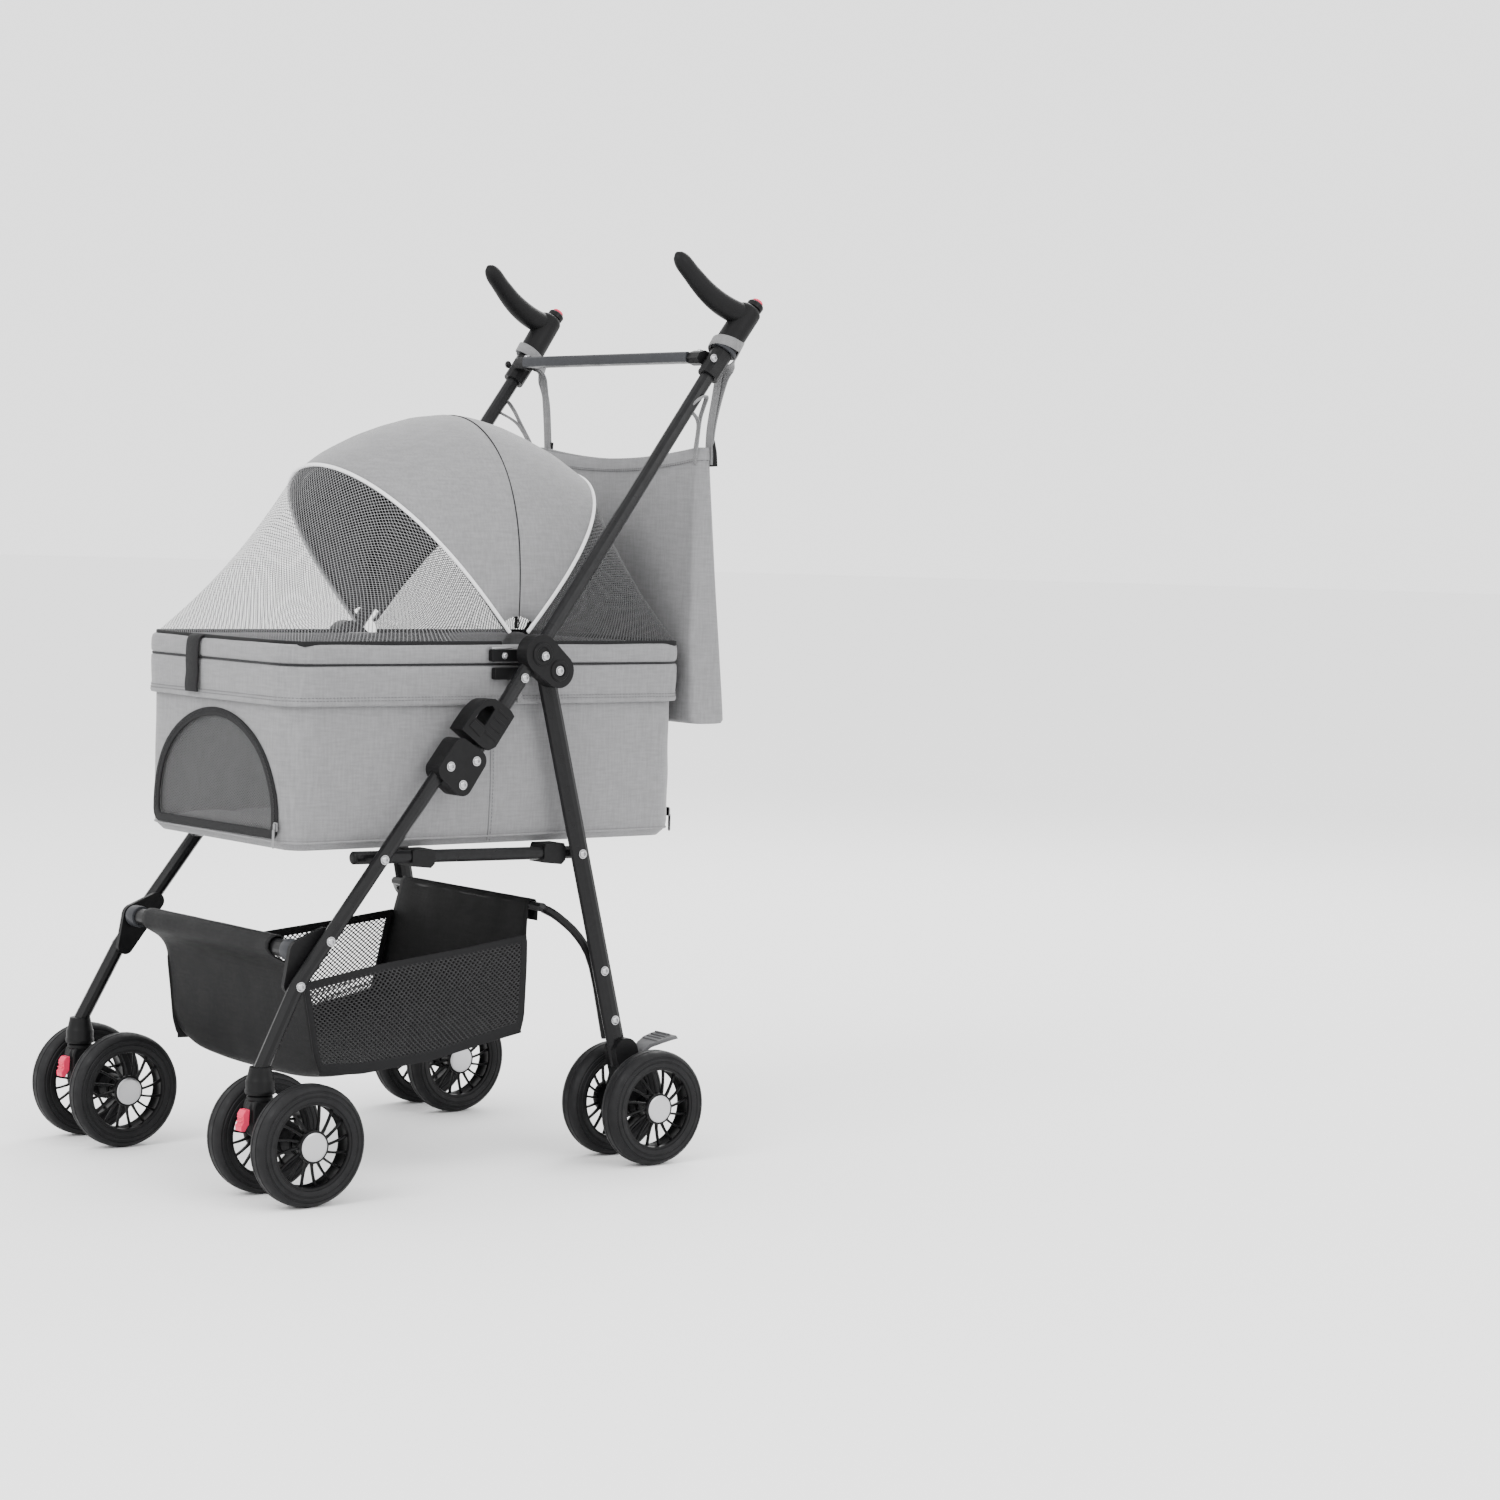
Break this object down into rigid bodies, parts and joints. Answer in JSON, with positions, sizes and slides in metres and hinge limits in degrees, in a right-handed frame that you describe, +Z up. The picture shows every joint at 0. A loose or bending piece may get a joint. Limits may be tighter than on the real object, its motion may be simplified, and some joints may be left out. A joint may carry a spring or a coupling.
{
  "type": "pet stroller",
  "caption": "Four-wheel folding pet stroller: lift-off soft carrier with mesh hood, storage basket, hanging bag, twin wheels and swivel casters.",
  "frame": {"origin": "on the floor, under the middle of the object's box at rest", "axes": "+Z up, -Y is the direction of travel, +Y is the handle side, X runs across and +X is the side called right"},
  "size_m": [0.5068, 0.6664, 1.0108],
  "materials": {
    "frame": "semi-gloss black paint",
    "plastic": "fine moulded grain",
    "bar": "satin dark grey",
    "tyre": "matt rubber",
    "red": "gloss red-pink",
    "pedal": "mid grey",
    "shell_fabric": "woven polyester, light grey",
    "canopy_fabric": "woven polyester, light grey",
    "mesh": "open black mesh",
    "basket_fabric": "black polyester",
    "mat": "brushed grey",
    "piping": "white reflective piping",
    "steel": "bright zinc",
    "cap": "satin silver",
    "trim_grey": "dark grey webbing",
    "lining": "mid grey lining",
    "strap": "light grey webbing",
    "basket_mesh": "black net"
  },
  "bodies": {
    "front_frame": {"front_leg_left": "frame", "front_leg_right": "frame", "knuckle_left": "plastic", "knuckle_right": "plastic", "front_cross_tube": "frame", "cross_tube_bracket_left": "plastic", "cross_tube_bracket_right": "plastic", "basket": "basket_fabric"},
    "handle_frame": {"handle_tube_left": "frame", "handle_tube_right": "frame", "crossbar": "bar", "crossbar_clamp_left": "plastic", "crossbar_clamp_right": "plastic", "hub_left": "plastic", "hub_right": "plastic", "bag": "shell_fabric"},
    "side_links": {"side_link_left": "frame", "side_link_right": "frame", "saddle_front_left": "plastic", "saddle_front_right": "plastic", "saddle_rear_left": "plastic", "saddle_rear_right": "plastic"},
    "rear_frame": {"rear_leg_left": "frame", "rear_leg_right": "frame", "rear_axle_block_left": "plastic", "rear_axle_block_right": "plastic", "rear_basket_tube": "frame"},
    "carrier": {"carrier_body": "shell_fabric", "carrier_rim": "shell_fabric", "base_mat": "mat", "carrier_clip_left": "plastic", "carrier_clip_right": "plastic", "rear_hoop": "frame", "rear_mesh": "mesh", "canopy_shell": "canopy_fabric"},
    "canopy_front": {"front_hoop": "frame", "front_mesh": "mesh"},
    "canopy_mid": {"mid_hoop": "frame"},
    "front_flap": {"front_door": "mesh"},
    "rear_flap": {"rear_door": "mesh"},
    "grip_left": {"grip_left": "plastic"},
    "button_left": {"grip_button_left": "red"},
    "latch_left": {"latch_left": "plastic"},
    "brake_left": {"brake_pedal_left": "pedal"},
    "caster_left": {"caster_fork_left": "plastic"},
    "caster_lock_left": {"caster_lock_left": "red"},
    "wheel_front_left_outer": {"wheel_front_left_outer": "tyre"},
    "wheel_front_left_inner": {"wheel_front_left_inner": "tyre"},
    "wheel_rear_left_outer": {"wheel_rear_left_outer": "tyre"},
    "wheel_rear_left_inner": {"wheel_rear_left_inner": "tyre"},
    "grip_right": {"grip_right": "plastic"},
    "button_right": {"grip_button_right": "red"},
    "latch_right": {"latch_right": "plastic"},
    "brake_right": {"brake_pedal_right": "pedal"},
    "caster_right": {"caster_fork_right": "plastic"},
    "caster_lock_right": {"caster_lock_right": "red"},
    "wheel_front_right_outer": {"wheel_front_right_outer": "tyre"},
    "wheel_front_right_inner": {"wheel_front_right_inner": "tyre"},
    "wheel_rear_right_outer": {"wheel_rear_right_outer": "tyre"},
    "wheel_rear_right_inner": {"wheel_rear_right_inner": "tyre"}
  },
  "joints": [
    {"name": "frame_fold", "type": "hinge", "parent": "front_frame", "child": "handle_frame", "pos_m": [0, -0.0474, 0.4486], "axis": [-1, 0, 0], "range_deg": [0, 110], "deforming": ["basket", "bag"]},
    {"name": "link_fold", "type": "hinge", "parent": "front_frame", "child": "side_links", "pos_m": [0, -0.1567, 0.3473], "axis": [-1, 0, 0], "range_deg": [0, 62]},
    {"name": "rear_leg_fold", "type": "hinge", "parent": "side_links", "child": "rear_frame", "pos_m": [0, 0.1035, 0.3425], "axis": [1, 0, 0], "range_deg": [0, 36]},
    {"name": "carrier_lift", "type": "slide", "parent": "front_frame", "child": "carrier", "axis": [0, -0.6, 0.8], "range_m": [0, 0.8]},
    {"name": "canopy_fold", "type": "hinge", "parent": "carrier", "child": "canopy_front", "pos_m": [0, 0.035, 0.57], "axis": [-1, 0, 0], "range_deg": [0, 40], "deforming": ["canopy_shell"]},
    {"name": "canopy_mid_fold", "type": "hinge", "parent": "carrier", "child": "canopy_mid", "pos_m": [0, 0.035, 0.57], "axis": [-1, 0, 0], "range_deg": [0, 20]},
    {"name": "front_door_open", "type": "hinge", "parent": "carrier", "child": "front_flap", "pos_m": [0, -0.247, 0.3665], "axis": [1, 0, 0], "range_deg": [0, 100]},
    {"name": "rear_door_open", "type": "hinge", "parent": "carrier", "child": "rear_flap", "pos_m": [0, 0.258, 0.3665], "axis": [-1, 0, 0], "range_deg": [0, 100]},
    {"name": "grip_turn_left", "type": "hinge", "parent": "handle_frame", "child": "grip_left", "pos_m": [-0.19, 0.27971, 0.89819], "axis": [-0.0587, 0.5728, 0.8176], "range_deg": [-90, 90]},
    {"name": "button_press_left", "type": "slide", "parent": "grip_left", "child": "button_left", "axis": [0, -0.6222, -0.7828], "range_m": [0, 0.003], "stiffness_N_per_m": 400, "springref_m": -0.001},
    {"name": "latch_lift_left", "type": "slide", "parent": "handle_frame", "child": "latch_left", "axis": [0, 0.5883, 0.8086], "range_m": [0, 0.022], "stiffness_N_per_m": 300, "springref_m": -0.01},
    {"name": "brake_press_left", "type": "hinge", "parent": "rear_frame", "child": "brake_left", "pos_m": [0, 0.181, 0.116], "axis": [-1, 0, 0], "range_deg": [0, 14]},
    {"name": "caster_swivel_left", "type": "hinge", "parent": "front_frame", "child": "caster_left", "pos_m": [-0.196, -0.301, 0.1], "axis": [0, 0, 1], "continuous": true},
    {"name": "caster_lock_flip_left", "type": "hinge", "parent": "caster_left", "child": "caster_lock_left", "pos_m": [-0.196, -0.3175, 0.095], "axis": [-1, 0, 0], "range_deg": [0, 15]},
    {"name": "spin_front_left_outer", "type": "hinge", "parent": "caster_left", "child": "wheel_front_left_outer", "pos_m": [-0.2398, -0.2697, 0.0635], "axis": [1, 0, 0], "continuous": true},
    {"name": "spin_front_left_inner", "type": "hinge", "parent": "caster_left", "child": "wheel_front_left_inner", "pos_m": [-0.1522, -0.2697, 0.0635], "axis": [1, 0, 0], "continuous": true},
    {"name": "spin_rear_left_outer", "type": "hinge", "parent": "rear_frame", "child": "wheel_rear_left_outer", "pos_m": [-0.2335, 0.1741, 0.0635], "axis": [1, 0, 0], "continuous": true},
    {"name": "spin_rear_left_inner", "type": "hinge", "parent": "rear_frame", "child": "wheel_rear_left_inner", "pos_m": [-0.1585, 0.1741, 0.0635], "axis": [1, 0, 0], "continuous": true},
    {"name": "grip_turn_right", "type": "hinge", "parent": "handle_frame", "child": "grip_right", "pos_m": [0.19, 0.27971, 0.89819], "axis": [0.0587, 0.5728, 0.8176], "range_deg": [-90, 90]},
    {"name": "button_press_right", "type": "slide", "parent": "grip_right", "child": "button_right", "axis": [0, -0.6222, -0.7828], "range_m": [0, 0.003], "stiffness_N_per_m": 400, "springref_m": -0.001},
    {"name": "latch_lift_right", "type": "slide", "parent": "handle_frame", "child": "latch_right", "axis": [0, 0.5883, 0.8086], "range_m": [0, 0.022], "stiffness_N_per_m": 300, "springref_m": -0.01},
    {"name": "brake_press_right", "type": "hinge", "parent": "rear_frame", "child": "brake_right", "pos_m": [0, 0.181, 0.116], "axis": [-1, 0, 0], "range_deg": [0, 14]},
    {"name": "caster_swivel_right", "type": "hinge", "parent": "front_frame", "child": "caster_right", "pos_m": [0.196, -0.301, 0.1], "axis": [0, 0, 1], "continuous": true},
    {"name": "caster_lock_flip_right", "type": "hinge", "parent": "caster_right", "child": "caster_lock_right", "pos_m": [0.196, -0.3175, 0.095], "axis": [-1, 0, 0], "range_deg": [0, 15]},
    {"name": "spin_front_right_outer", "type": "hinge", "parent": "caster_right", "child": "wheel_front_right_outer", "pos_m": [0.2398, -0.2697, 0.0635], "axis": [1, 0, 0], "continuous": true},
    {"name": "spin_front_right_inner", "type": "hinge", "parent": "caster_right", "child": "wheel_front_right_inner", "pos_m": [0.1522, -0.2697, 0.0635], "axis": [1, 0, 0], "continuous": true},
    {"name": "spin_rear_right_outer", "type": "hinge", "parent": "rear_frame", "child": "wheel_rear_right_outer", "pos_m": [0.2335, 0.1741, 0.0635], "axis": [1, 0, 0], "continuous": true},
    {"name": "spin_rear_right_inner", "type": "hinge", "parent": "rear_frame", "child": "wheel_rear_right_inner", "pos_m": [0.1585, 0.1741, 0.0635], "axis": [1, 0, 0], "continuous": true}
  ],
  "couplings": [
    {"joint": "link_fold", "follows": "frame_fold", "ratio": 0.56},
    {"joint": "rear_leg_fold", "follows": "frame_fold", "ratio": 0.32},
    {"joint": "canopy_mid_fold", "follows": "canopy_fold", "ratio": 0.5}
  ]
}
